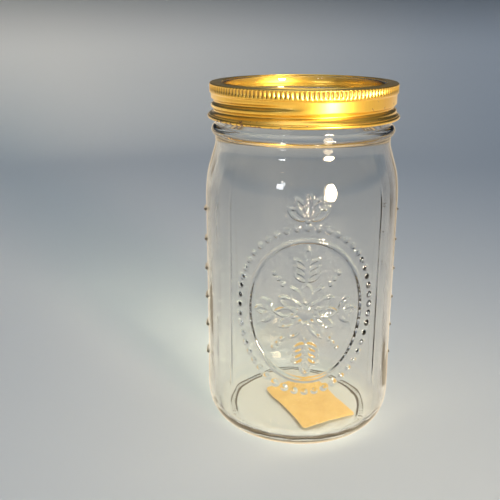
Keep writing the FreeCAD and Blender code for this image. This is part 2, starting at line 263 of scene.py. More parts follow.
@dataclass
class Turning:
    """A closed surface turned from a section in coarse cells, with some cells split finer.

    A section that isn't looped starts and ends on the axis.
    """

    section: Section
    columns: int
    looped: bool = False
    lattice: int = 840
    splits: Array = field(init=False)

    def __post_init__(self) -> None:
        """Starts with no cell split."""
        self.splits = np.ones((self.section.rows, self.columns), int)

    def split(self, rows: tuple[int, int], columns: tuple[int, int], parts: int) -> None:
        """Splits a patch of cells both ways.

        Args:
            rows: first row and the row after the last.
            columns: first column and the column after the last, which may be below zero.
            parts: how many parts each side of a cell gets.
        """
        around = np.arange(columns[0], columns[1]) % self.columns
        self.splits[rows[0] : rows[1], around] = parts

    def key(self, across: Array, along: Array) -> Array:
        """One number for each place on the lattice, the same for places that meet."""
        width, height = self.columns * self.lattice, self.section.rows * self.lattice
        across = np.mod(across, width)
        if self.looped:
            along = np.mod(along, height)
        else:
            across = np.where((along == 0) | (along == height), 0, across)
        return along * width + across

    def fine_faces(self) -> Array:
        """The four-sided faces of the split cells, as lattice keys."""
        faces = [np.zeros((0, 4), np.int64)]
        for parts in np.unique(self.splits):
            if parts == 1:
                continue
            step = self.lattice // parts
            rows, columns = np.nonzero(self.splits == parts)
            inner = np.arange(parts) * step
            across = (columns * self.lattice)[:, None, None] + inner[None, None, :]
            along = (rows * self.lattice)[:, None, None] + inner[None, :, None]
            across, along = (a.ravel() for a in np.broadcast_arrays(across, along))
            corners = [(0, 0), (step, 0), (step, step), (0, step)]
            faces.append(np.stack([self.key(across + i, along + j) for i, j in corners], axis=1))
        return np.concatenate(faces)

    def coarse_faces(self) -> list[list[int]]:
        """The faces of whole cells, which take in the points of finer cells beside them."""
        unit, faces = self.lattice, []
        around = np.pad(self.splits, 1, mode="wrap")
        if not self.looped:
            around[[0, -1]] = 1
        for row, column in zip(*np.nonzero(self.splits == 1)):
            left, low = int(column) * unit, int(row) * unit
            sides = [
                (left, low, 1, 0, around[row, column + 1]),
                (left + unit, low, 0, 1, around[row + 1, column + 2]),
                (left + unit, low + unit, -1, 0, around[row + 2, column + 1]),
                (left, low + unit, 0, -1, around[row + 1, column]),
            ]
            loop: list[int] = []
            for across, along, turn, climb, parts in sides:
                steps = np.arange(parts) * (unit // parts)
                loop += self.key(across + turn * steps, along + climb * steps).tolist()
            faces.append(list(dict.fromkeys(loop)))
        return faces

    def build(self, name: str, relief: Relief) -> Object:
        """Makes the mesh.

        Args:
            name: the piece's name.
            relief: gives how far each point is raised, from its azimuth, its station and its height.

        Returns:
            The object, linked to the scene.
        """
        fine, coarse = self.fine_faces(), self.coarse_faces()
        every = np.concatenate([fine.ravel(), np.concatenate([np.array(f) for f in coarse])])
        keys = np.unique(every)
        width = self.columns * self.lattice
        azimuth = (keys % width) * (FULL_TURN / width)
        station = (keys // width) / self.lattice
        radius, height = self.section.at(station)
        out_r, out_z = self.section.outwards(station, self.looped)
        raised = relief(azimuth, station, height)
        radius, height = radius + raised * out_r, height + raised * out_z
        points = np.stack([radius * np.cos(azimuth), radius * np.sin(azimuth), height], axis=1) * MM
        faces = np.searchsorted(keys, fine).tolist()
        faces += [np.searchsorted(keys, f).tolist() for f in coarse]
        return piece_from(name, points, faces)


def piece_from(name: str, points: Array, faces: list[list[int]]) -> Object:
    """Makes a smooth-shaded piece from points in metres and faces.

    Args:
        name: the piece's name.
        points: the corners, one row each.
        faces: the corners of each face by number.

    Returns:
        The object, linked to the scene.
    """
    mesh = bpy.data.meshes.new(name)
    mesh.from_pydata(points.tolist(), [], faces)
    mesh.validate()
    mesh.shade_smooth()
    piece = bpy.data.objects.new(name, mesh)
    bpy.context.scene.collection.objects.link(piece)
    return piece


def lofted(name: str, rings: list[Array]) -> Object:
    """Makes a smooth-shaded piece from rings of points, each joined to the next.

    Args:
        name: the piece's name.
        rings: points in metres, one row each; a ring of one point closes an end.

    Returns:
        The object, linked to the scene.
    """
    faces, first = [], 0
    for ring, following in zip(rings, rings[1:]):
        here, there = len(ring), len(following)
        count, second = max(here, there), first + here
        for step in range(count):
            after = (step + 1) % count
            low, high = first + step % here, second + step % there
            loop = [low, high, second + after % there, first + after % here]
            faces.append(list(dict.fromkeys(loop)))
        first = second
    return piece_from(name, np.concatenate(rings), faces)


@dataclass
class RuleTree:
    """A Geometry Nodes tree with named sizes that reshapes one piece by a rule."""

    name: str
    sizes: dict[str, float | int]
    tree: NodeTree = field(init=False)
    start: Node = field(init=False)

    def __post_init__(self) -> None:
        """Starts the tree with its named inputs."""
        self.tree = bpy.data.node_groups.new(self.name, "GeometryNodeTree")
        face = self.tree.interface
        face.new_socket("Geometry", in_out="INPUT", socket_type="NodeSocketGeometry")
        for name, size in self.sizes.items():
            kind = "NodeSocketInt" if isinstance(size, int) else "NodeSocketFloat"
            face.new_socket(name, in_out="INPUT", socket_type=kind)
        face.new_socket("Material", in_out="INPUT", socket_type="NodeSocketMaterial")
        face.new_socket("Geometry", in_out="OUTPUT", socket_type="NodeSocketGeometry")
        self.start = self.tree.nodes.new("NodeGroupInput")

    def node(self, kind: str, inputs: Inputs | None = None, **settings: object) -> Node:
        """Adds a node to this tree; a text that names a size stands for that input of the tree."""
        pairs = inputs.items() if isinstance(inputs, dict) else enumerate(inputs or [])
        inlets, sizes = self.start.outputs, self.sizes
        sockets = {key: inlets[v] if isinstance(v, str) and v in sizes else v for key, v in pairs}
        return add(self.tree, kind, sockets, **settings)

    def level(self) -> Node:
        """The level part of each point's place."""
        place = self.node("InputPosition")
        return self.node("VectorMath", [place, (1, 1, 0)], operation="MULTIPLY")

    def radial(self) -> Node:
        """The level direction away from the axis at each point."""
        return self.node("VectorMath", [self.level()], operation="NORMALIZE")

    def raise_near(
        self, target: Link, kind: Target, reach: str, height: str, way: Link
    ) -> "RuleTree":
        """Raises the piece in rounded ridges or domes near other geometry.

        Args:
            target: the geometry that the relief follows.
            kind: whether its points or its edges are followed.
            reach: name of the input that says how far from it the relief ends.
            height: name of the input that says how high the relief is.
            way: the direction it is raised in.

        Returns:
            The rule itself, finished.
        """
        near = self.node("Proximity", [target], target_element=kind.value)
        share = self.node("DIVIDE", [near.outputs["Distance"], reach])
        square = self.node("MULTIPLY", [share, share])
        left = self.node("SUBTRACT", [1.0, square], use_clamp=True)
        bell = self.node("POWER", [left, RIDGE_POWER])
        lift = self.node("MULTIPLY", [bell, height])
        offset = self.node("VectorMath", {0: way, "Scale": lift}, operation="SCALE")
        return self.finish(self.node("SetPosition", {0: self.start, "Offset": offset}))

    def finish(self, shape: Link) -> "RuleTree":
        """Ends the tree with real geometry that carries its material."""
        real = self.node("RealizeInstances", [shape])
        material = self.start.outputs["Material"]
        dressed = self.node("SetMaterial", {0: real, "Material": material})
        end = self.tree.nodes.new("NodeGroupOutput")
        self.tree.links.new(dressed.outputs[0], end.inputs[0])
        return self

    def put_on(self, piece: Object, material: Material) -> None:
        """Adds the tree to a piece as a modifier with its sizes set."""
        modifier = piece.modifiers.new(self.name, "NODES")
        modifier.node_group = self.tree
        values = {**self.sizes, "Material": material}
        for item in self.tree.interface.items_tree:
            if item.in_out == "INPUT" and item.name in values:
                modifier[item.identifier] = values[item.name]


def settle(piece: Object) -> None:
    """Turns what a piece's modifiers make into its own plain mesh."""
    graph = bpy.context.evaluated_depsgraph_get()
    mesh = bpy.data.meshes.new_from_object(piece.evaluated_get(graph))
    piece.modifiers.clear()
    raw, piece.data = piece.data, mesh
    mesh.name = piece.name
    bpy.data.meshes.remove(raw)


def hand_over(piece: Object, body: Body, node: str, slot: Slot) -> None:
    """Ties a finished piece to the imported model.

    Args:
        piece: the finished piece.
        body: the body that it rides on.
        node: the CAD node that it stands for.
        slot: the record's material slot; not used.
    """
    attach(piece, body.value)
    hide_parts(node)
    log.info("%s: %d faces, rides on %s", piece.name, len(piece.data.polygons), body.value)


def new_material(name: str) -> tuple[Material, Adder, NodeSocket]:
    """A node material, what adds a node to it, and the Object coordinates in it."""
    material = bpy.data.materials.new(name)
    material.use_nodes = True
    material.node_tree.nodes.clear()
    node = partial(add, material.node_tree)
    return material, node, node("TexCoord").outputs["Object"]


@dataclass(frozen=True)
class SodaLimeGlass:
    """Clear soda-lime container glass, pressed and blown in a mould."""

    tint: str = "#FBFAF7"
    shadow_tint: str = "#EEF2F1"
    ior: float = 1.52
    roughness: float = 0.01
    wave: float = 11.0
    wave_depth: float = 0.03

    def make(self) -> Material:
        """Builds the material."""
        # Almost colourless, with bright crisp reflections and the faint ripple that a mould leaves.
        material, node, place = new_material("moulded_soda_lime_glass")
        ripple = node("TexNoise", {"Vector": place, "Scale": 1 / (self.wave * MM), "Detail": 1.0})
        bump = node("Bump", {
            "Strength": 1.0, "Distance": self.wave_depth * MM, "Height": ripple,
        })
        glass = node("BsdfPrincipled", {
            "Base Color": linear(self.tint), "Roughness": self.roughness, "IOR": self.ior,
            "Transmission Weight": 1.0, "Normal": bump,
        })
        # Lamps reach through the glass, so that its shadow stays as light as a real jar's.
        clear = node("BsdfTransparent", [linear(self.shadow_tint)])
        path = node("LightPath")
        both = node("MixShader", [path.outputs["Is Shadow Ray"], glass, clear])
        node("OutputMaterial", [both])
        return material


@dataclass(frozen=True)
class LacqueredTinplate:
    """Tin-plated steel sheet under a clear gold lacquer, pressed and rolled."""

    gold: str = "#F4CE38"
    deep_gold: str = "#E8B72B"
    rust: str = "#6A3A16"
    notch_shade_colour: str = "#6B4A16"
    streak: float = 0.45
    streak_length: float = 9.0
    streak_depth: float = 0.015
    cloud: float = 14.0
    speck: float = 1.5
    speck_foot: float = 157.0
    speck_top: float = 160.2
    speck_side: Place = (4.0, -25.0)

    def make(self) -> Material:
        """Builds the material."""
        # Warm gold metal with soft highlights, drawn streaks, painted shade in its notches and low rust
        # specks.
        material, node, place = new_material("gold_lacquered_tinplate")
        fine, long = 1 / (self.streak * MM), 1 / (self.streak_length * MM)
        stretched = node("Mapping", {0: place, "Scale": (fine, fine, long)})
        streaks = node("TexNoise", {"Vector": stretched, "Scale": 1.0, "Detail": 2.0})
        clouds = node("TexNoise", {"Vector": place, "Scale": 1 / (self.cloud * MM), "Detail": 3.0})
        drawn = node("MULTIPLY", [streaks, 0.55])
        blend = node("MULTIPLY_ADD", [clouds, 0.6, drawn])
        shade = node("MapRange", [blend, 0.35, 0.8])
        # Painted shade: the gold darkens in the knurl's notches, by the notch depth that the knurl
        # stores.
        notch = node("Attribute", attribute_name="notch").outputs["Fac"]
        shaded_notch = node("MapRange", [notch, 0.25, 1.0, 0.0, 0.8])
        spots = node("TexNoise", {"Vector": place, "Scale": 1 / (self.speck * MM), "Detail": 2.0})
        parts = node("SeparateXYZ", [place])
        clean_side, worn_side = (side * MM for side in self.speck_side)
        worse = node("MapRange", [parts, clean_side, worn_side, 0.05, 0.22])
        foot, top = self.speck_foot * MM, self.speck_top * MM
        low = node("MapRange", [parts.outputs[2], foot, top, worse, 0.0])
        lifted = node("ADD", [spots, low])
        rusty = node("MapRange", [lifted, 0.71, 0.75])
        worn = node("MapRange", {0: rusty, 3: 1.0, 4: 0.2})
        gloss = node("MapRange", [blend, 0.3, 0.85, 0.26, 0.4])
        rough = node("MAXIMUM", [gloss, rusty])
        layers = (shade, self.deep_gold), (shaded_notch, self.notch_shade_colour), (rusty, self.rust)
        bump = node("Bump", {
            "Strength": 0.6, "Distance": self.streak_depth * MM, "Height": streaks,
        })
        metal = node("BsdfPrincipled", {
            "Base Color": layered(node, self.gold, *layers), "Metallic": worn, "Roughness": rough,
            "Normal": bump, "Coat Weight": 1.0, "Coat Roughness": 0.3, "Coat IOR": 1.9,
        })
        node("OutputMaterial", [metal])
        return material


@dataclass(frozen=True)
class CreamPaper:
    """Uncoated wood-fibre label paper."""

    cream: str = "#E4C47A"
    shade: str = "#D6AC60"
    fibre: float = 0.9
    fibre_depth: float = 0.05
    cloud: float = 9.0

    def make(self) -> Material:
        """Builds the material."""
        # Matt and slightly mottled, with short fibres that catch the light.
        material, node, place = new_material("cream_label_paper")
        fibres = node("TexNoise", {"Vector": place, "Scale": 1 / (self.fibre * MM), "Detail": 4.0})
        clouds = node("TexNoise", {"Vector": place, "Scale": 1 / (self.cloud * MM), "Detail": 2.0})
        blend = node("ADD", [fibres, clouds])
        share = node("MapRange", [blend, 0.85, 1.4])
        bump = node("Bump", {
            "Strength": 0.5, "Distance": self.fibre_depth * MM, "Height": fibres,
        })
        mottled = layered(node, self.cream, (share, self.shade))
        paper = node("BsdfPrincipled", {
            "Base Color": mottled, "Roughness": 0.85, "Normal": bump,
        })
        node("OutputMaterial", [paper])
        return material


@dataclass(frozen=True)
class Helix:
    """The line of a screw thread round the axis, which fades at both ends."""

    start: float
    low: float
    turns: float
    fade: float
    beyond: float = 0.0
    pitch: float = 4.233

    def height(self, azimuth: Array, height: Array, shape: Callable[[Array], Array]) -> Array:
        """Relief of the thread.

        Args:
            azimuth: directions round the axis.
            height: heights above the floor.
            shape: gives the thread's section, from the upright distance from its line.

        Returns:
            How far each place is raised, from 0 to 1.
        """
        behind = (azimuth - math.radians(self.start)) % FULL_TURN / FULL_TURN
        best = np.zeros_like(height)
        for turns in (behind, behind + 1):
            share = ramp(turns, 0.0, self.fade) * ramp(self.turns - turns, -self.beyond, self.fade)
            best = np.maximum(best, share * shape(height - self.low - turns * self.pitch))
        return best


@dataclass(frozen=True)
class Leaf:
    """An almond-shaped leaf or petal of the moulded design, in millimetres across and up the front."""

    across: float
    up: float
    turn: float
    length: float
    width: float

    def height(self, across: Array, up: Array) -> Array:
        """Relief of the leaf, with a raised edge, a soft pillow and a sunken midrib.

        Args:
            across: level distances from the design's centre.
            up: upright distances from the design's centre.

        Returns:
            How far each place is raised, from 0 to about 1.
        """
        level, rise = across - self.across, up - self.up
        along = level * math.cos(self.turn) + rise * math.sin(self.turn)
        aside = np.abs(rise * math.cos(self.turn) - level * math.sin(self.turn))
        half_length, half_width = self.length / 2, self.width / 2
        round_ = (half_length**2 + half_width**2) / (2 * half_width)
        edge = np.hypot(along, aside + round_ - half_width) - round_
        inside = np.clip(-edge / half_width, 0, 1)
        pillow = 0.62 * inside * (2 - inside)
        midrib = 0.4 * ridge(aside, 0.6) * ramp(inside, 0.25, 0.6)
        return np.maximum(ridge(edge, 0.95), pillow - midrib)


@dataclass(frozen=True)
class Dot:
    """A small dome of the moulded design."""

    across: float
    up: float
    reach: float

    def height(self, across: Array, up: Array) -> Array:
        """Relief of the dome, from 0 to 1."""
        return ridge(np.hypot(across - self.across, up - self.up), self.reach, 0.8)


@dataclass(frozen=True)
class Stem:
    """A straight raised line of the moulded design."""

    start: Place
    end: Place
    reach: float = 0.85

    def height(self, across: Array, up: Array) -> Array:
        """Relief of the line, from 0 to 1."""
        run_x, run_y = self.end[0] - self.start[0], self.end[1] - self.start[1]
        share = ((across - self.start[0]) * run_x + (up - self.start[1]) * run_y) / (run_x**2 + run_y**2)
        share = np.clip(share, 0, 1)
        distance = np.hypot(across - self.start[0] - share * run_x, up - self.start[1] - share * run_y)
        return ridge(distance, self.reach)


@dataclass
class GlassJar:
    """The moulded jar: one closed glass mesh with its thread, its relief and its stippled base."""

    height: float = 172.6
    root_radius: float = 41.95
    neck_radius: float = 42.1
    bead_radius: float = 44.0
    body_radius: float = 47.5
    bore_radius: float = 38.2
    wall: float = 3.0
    relief_height: float = 1.1
    oval_height: float = 69.5
    oval_width: float = 55.5
    oval_line: float = 1.4
    oval_centre: float = 74.5
    oval_ridge: Place = (1.25, 1.2)
    front_angle: float = 1.0
    panel_edge: float = 47.5
    panel_depth: float = 0.3
    thread_round: float = 1.2
    thread: Helix = Helix(start=230.0, low=163.0, turns=1.15, fade=0.05)
    columns: int = 108
    ripples: tuple[tuple[float, int, float], ...] = (
        (0.10, 7, 13.0), (0.05, 2, 6.5), (0.05, 17, 31.0), (0.03, 29, -23.0),
    )
    fold_angles: tuple[float, ...] = (54.0, 65.0, 77.0)
    fold_depth: float = 0.22
    floor_rows: int = 18
    floor_edge: float = 36.5
    finish: SodaLimeGlass = SodaLimeGlass()

    def section(self) -> Section:
        """The jar's section, from under the base up the outside, over the rim and down the inside."""
        shoulder, blend = (-14.0, 117.5), (54.1, 146.0)
        rim = self.height - 1.4
        bead = (41.13, 151.2)
        inside = self.body_radius - self.wall
        outline = Section((0.0, 1.5))
        outline.to(31.7, 1.5, 8).to(32.15, 1.42).to(32.6, 1.15).to(33.05, 0.8).to(33.4, 0.52)
        outline.mark("stipple_in").to(35.5, 0.45, 2).mark("stipple_out").to(35.9, 0.0)
        outline.to(self.body_radius, 16.5, 11, (35.9, 16.5)).mark("heel").to(self.body_radius, 31.0, 5)
        outline.mark("front_low").to(self.body_radius, 117.5, 31)
        outline.to(46.37, 129.3, 4, shoulder).mark("front_high")
        outline.to(44.68, 135.9, 3, shoulder).to(42.65, 142.4, 3).to(self.neck_radius, 146.0, 3, blend)
        outline.mark("neck").to(self.neck_radius, 148.4).to(42.2, 148.7)
        outline.to(self.bead_radius, 151.2, 5, bead).to(42.05, 153.7, 5, bead)
        outline.to(self.root_radius, 154.0).mark("thread_low")
        outline.to(self.root_radius, rim, 40).mark("thread_high")
        outline.to(40.55, self.height, 4, (40.55, rim)).to(39.6, self.height)
        outline.to(self.bore_radius, rim, 4, (39.6, rim))
        outline.mark("rim").to(self.bore_radius, 153.9, 6).to(39.1, 146.0, 4).to(39.79, 141.5, 3, blend)
        outline.to(41.82, 135.0, 3).to(inside, 117.5, 7, shoulder).to(inside, 13.0, 36)
        outline.to(self.floor_edge, 4.9, 12, (self.floor_edge, 13.0))
        outline.to(0.0, 6.5, self.floor_rows, (0.0, -410.0))
        return outline.mark("end")

    def design(self) -> list[Leaf | Dot | Stem]:
        """The raised design inside the oval and above it: a rosette with four sprays, and a fan."""
        marks: list[Leaf | Dot | Stem] = [Dot(0, 0, 3.6)]
        for step in range(12):
            turn = step * FULL_TURN / 12
            marks.append(Leaf(*polar(9.2, turn), turn, 9.4, 4.0))
        for turn, reach, pairs in ((0, 23.5, 2), (1, 30.5, 3), (2, 23.5, 2), (3, 30.5, 3)):
            marks += self.spray(turn * QUARTER_TURN, 14.4, reach, pairs)
        slant = math.atan2(17.5, 14.0)
        for turn in (slant, math.pi - slant, math.pi + slant, -slant):
            marks += [Dot(*polar(distance, turn), 1.25) for distance in (17.2, 20.4, 23.6)]
        for step in range(-2, 3):
            turn = QUARTER_TURN + step * 0.52
            length = 10.5 - abs(step)
            marks.append(Leaf(*polar(1.5 + length / 2, turn, (0, 43.2)), turn, length, 3.6))
        marks.append(Dot(0, 43.0, 1.4))
        return marks

    def spray(self, turn: float, foot: float, tip: float, pairs: int) -> list[Leaf | Stem]:
        """A straight stem with pairs of leaves and one at its tip.

        Args:
            turn: direction of the stem.
            foot: where the stem starts, from the design's centre.
            tip: where the last leaf ends.
            pairs: how many pairs of leaves it has.

        Returns:
            The stem and its leaves.
        """
        length, reach = 6.4, 3.5
        head = tip - length
        last = Leaf(*polar((head + tip) / 2, turn), turn, length, 2.9)
        marks: list[Leaf | Stem] = [Stem(polar(foot, turn), polar(head, turn)), last]
        for step in range(pairs):
            joint = foot + 1.0 + step * (head - foot - 1.0) / pairs
            for side in (-1, 1):
                lean = turn + side * 0.95
                marks.append(Leaf(*polar(reach, lean, polar(joint, turn)), lean, length, 2.7))
        return marks

    def oval_distance(self, across: Array, up: Array) -> Array:
        """Distance from the middle of the oval line."""
        half_width = (self.oval_width - self.oval_line) / 2
        half_height = (self.oval_height - self.oval_line) / 2
        share = np.maximum(np.hypot(across / half_width, up / half_height), 1e-6)
        slope = np.hypot(across / half_width**2, up / half_height**2) / share
        return (share - 1) / np.maximum(slope, 1e-6)

    def relief(self, marks: dict[str, int], azimuth: Array, station: Array, height: Array) -> Array:
        """The relief of the whole jar.

        Args:
            marks: row numbers of the section by name.
            azimuth: directions round the axis.
            station: rows along the section.
            height: heights above the floor.

        Returns:
            How far each point is raised, in millimetres.
        """
        total = np.zeros_like(height)
        aside = wrapped(azimuth + QUARTER_TURN)
        turned = np.minimum(np.abs(aside), math.pi - np.abs(aside))
        outside = (station >= marks["heel"]) & (station <= marks["neck"])
        # The sides are set back a little behind a fine line.
        edge, slope, groove = (math.radians(a) for a in (self.panel_edge, 0.7, 1.0))
        inset = ramp(turned, edge - slope, edge + slope) - 0.9 * ridge(turned - edge + groove, 0.02)
        inset *= self.panel_depth * ramp(height, 20, 44) * ramp(-height, -132, -122)
        total[outside] -= inset[outside]
        # The oval line and the design stand on the front.
        front = outside & (np.abs(aside) < self.front_angle)
        across, up = aside[front] * self.body_radius, height[front] - self.oval_centre
        best = ridge(self.oval_distance(across, up), *self.oval_ridge)
        for mark in self.design():
            best = np.maximum(best, mark.height(across, up))
        total[front] += self.relief_height * best
        screw = (station >= marks["thread_low"]) & (station <= marks["thread_high"])
        total[screw] += self.thread_round * self.thread.height(
            azimuth[screw], height[screw], lambda aside: ridge(aside, self.thread_round + 0.15, 0.8)
        )
        # The inside is slightly uneven, with a few upright folds at the sides and a pebbled floor.
        within = station > marks["rim"]
        ripple = 0.18 * np.sin(3 * azimuth + 0.4) * np.sin(height / 19 + 1)
        for depth, lobes, climb in self.ripples:
            ripple += depth * np.sin(lobes * azimuth + height / climb)
        for angle in self.fold_angles:
            sway = 0.02 * np.sin(height / 9 + angle)
            fold = ridge(turned - math.radians(angle) - sway, 0.06)
            ripple += self.fold_depth * fold * ramp(height, 24, 40)
        ripple *= ramp(height, 14, 42) * ramp(-height, -150, -128)
        reach = self.floor_edge * np.clip((marks["end"] - station) / self.floor_rows, 0, 1.3)
        level_x, level_y = reach * np.cos(azimuth), reach * np.sin(azimuth)
        uneven = np.sin(level_x / 2.1 + 0.8 * np.sin(level_y / 4)) * np.sin(level_y / 2.4 + 1)
        ripple += (0.04 + 0.16 * ramp(reach, 31, 36)) * uneven * ramp(-height, -18, -9)
        total[within] += ripple[within]
        return total

    def beads(self) -> RuleTree:
        """The border of round beads on an oval path outside the oval line."""
        margin = 5.2
        rule = RuleTree("bead_border", {
            "Bead Count": 48,
            "Bead Reach": 1.9 * MM,
            "Bead Height": self.relief_height * MM,
            "Oval Width": (self.oval_width + 2 * margin) * MM,
            "Oval Height": (self.oval_height + 2 * margin) * MM,
            "Oval Centre": self.oval_centre * MM,
            "Body Radius": self.body_radius * MM,
        })
        node = rule.node
        circle = node("CurvePrimitiveCircle", {"Resolution": 256, "Radius": 0.5})
        scale = node("CombineXYZ", ["Oval Width", "Oval Height", 1.0])
        oval = node("Transform", {0: circle, "Scale": scale})
        even = node("ResampleCurve", {0: oval, "Count": "Bead Count"})
        row = node("CurveToMesh", [even])
        flat = node("SeparateXYZ", [node("InputPosition")])
        angle = node("DIVIDE", [flat, "Body Radius"])
        across = node("MULTIPLY", [node("SINE", [angle]), "Body Radius"])
        back = node("MULTIPLY", [node("COSINE", [angle]), "Body Radius"])
        front = node("MULTIPLY", [back, -1.0])
        up = node("ADD", [flat.outputs[1], "Oval Centre"])
        place = node("CombineXYZ", [across, front, up])
        path = node("SetPosition", {0: row, "Position": place})
        return rule.raise_near(path, Target.POINTS, "Bead Reach", "Bead Height", rule.radial())

    def bars(self) -> RuleTree:
        """The two ladders of short level bars on the sides."""
        rule = RuleTree("side_bars", {
            "Bar Count": 6,
            "Bar Spacing": 15.5 * MM,
            "First Bar": 34.0 * MM,
            "Bar Sweep": 7.8 / self.body_radius,
            "Bar Reach": 0.95 * MM,
            "Bar Height": (self.relief_height + 0.1) * MM,
            "Body Radius": (self.body_radius - 0.3) * MM,
        })
        node = rule.node
        start = node("MULTIPLY", ["Bar Sweep", -0.5])
        arc = node("CurveArc", {
            "Resolution": 12, "Radius": "Body Radius", "Start Angle": start, "Sweep Angle": "Bar Sweep",
        })
        bar = node("CurveToMesh", [arc])
        number = node("InputIndex")
        level = node("MULTIPLY_ADD", [number, "Bar Spacing", "First Bar"])
        place = node("CombineXYZ", [0.0, 0.0, level])
        steps = node("Points", {"Count": "Bar Count", "Position": place})
        ladder = node("InstanceOnPoints", {"Points": steps, "Instance": bar})
        near_side = node("RealizeInstances", [ladder])
        far_side = node("Transform", {0: near_side, "Rotation": (0, 0, math.pi)})
        both = node("JoinGeometry", [near_side])
        rule.tree.links.new(far_side.outputs[0], both.inputs[0])
        return rule.raise_near(both, Target.EDGES, "Bar Reach", "Bar Height", rule.radial())

    def stipple(self) -> RuleTree:
        """The two rings of dots that the jar stands on."""
        count = 108
        rule = RuleTree("base_stipple", {
            "Dot Count": count,
            "Inner Ring": 33.95 * MM,
            "Outer Ring": 35.1 * MM,
            "Dot Reach": 0.8 * MM,
            "Dot Height": 0.42 * MM,
        })
        node = rule.node
        inner, outer = (
            node("MeshCircle", {"Vertices": "Dot Count", "Radius": ring})
            for ring in ("Inner Ring", "Outer Ring")
        )
        half_step = math.pi / count
        turned = node("Transform", {0: outer, "Rotation": (0, 0, half_step)})
        both = node("JoinGeometry", [inner])
        rule.tree.links.new(turned.outputs[0], both.inputs[0])
        down = node("CombineXYZ", {2: -1.0})
        return rule.raise_near(both, Target.POINTS, "Dot Reach", "Dot Height", down)

    def build(self) -> None:
        """Makes the jar and ties it to its body."""
        section = self.section()
        turning = Turning(section, self.columns)
        marks = section.marks
        front, sides = self.columns * 3 // 4, (0, self.columns // 2)
        front_parts, side_parts, base_parts = 7, 5, 6
        turning.split((marks["front_low"], marks["front_high"]), (front - 16, front + 16), front_parts)
        for side in sides:
            turning.split((marks["heel"] + 3, marks["front_low"] + 31), (side - 2, side + 2), side_parts)
        turning.split((marks["stipple_in"], marks["stipple_out"]), (0, self.columns), base_parts)
        jar = turning.build("glass_jar_visual", partial(self.relief, marks))
        glass = self.finish.make()
        for rule in (self.beads(), self.bars(), self.stipple()):
            rule.put_on(jar, glass)
        settle(jar)
        hand_over(jar, Body.JAR, "glass_jar", Slot.GLASS)


